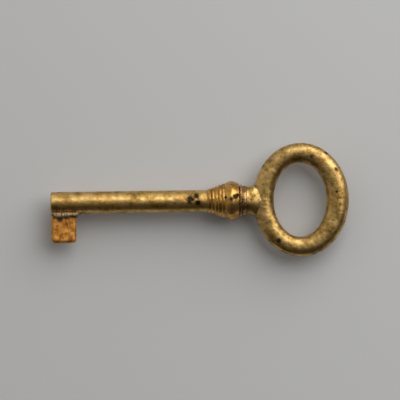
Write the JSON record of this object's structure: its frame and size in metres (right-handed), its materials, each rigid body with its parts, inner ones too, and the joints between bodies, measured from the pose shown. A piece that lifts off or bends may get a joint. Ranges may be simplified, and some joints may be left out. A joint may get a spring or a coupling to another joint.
{
  "type": "furniture key",
  "caption": "Brass furniture key: hollow barrel with a plain rectangular bit, turned collar, and an oval ring bow.",
  "frame": {"origin": "centre of the key's bounding box, which lies on the shank's axis", "axes": "+X along the shank from the tip to the bow, +Y in the bow's plane with the bit on the -Y side, +Z through the thickness, upwards when the key lies flat"},
  "size_m": [0.0746, 0.0284, 0.0098],
  "materials": {
    "aged_brass": "worn brown-gold patina, dark in the recesses, satin sheen",
    "braze_filler": "dull, uneven filler metal"
  },
  "bodies": {
    "root": {"barrel": "aged_brass", "bit": "aged_brass", "bit_braze": "braze_filler", "collar": "aged_brass", "neck_ring": "aged_brass", "stem": "aged_brass", "bow_braze": "braze_filler", "bow": "aged_brass"}
  },
  "joints": []
}
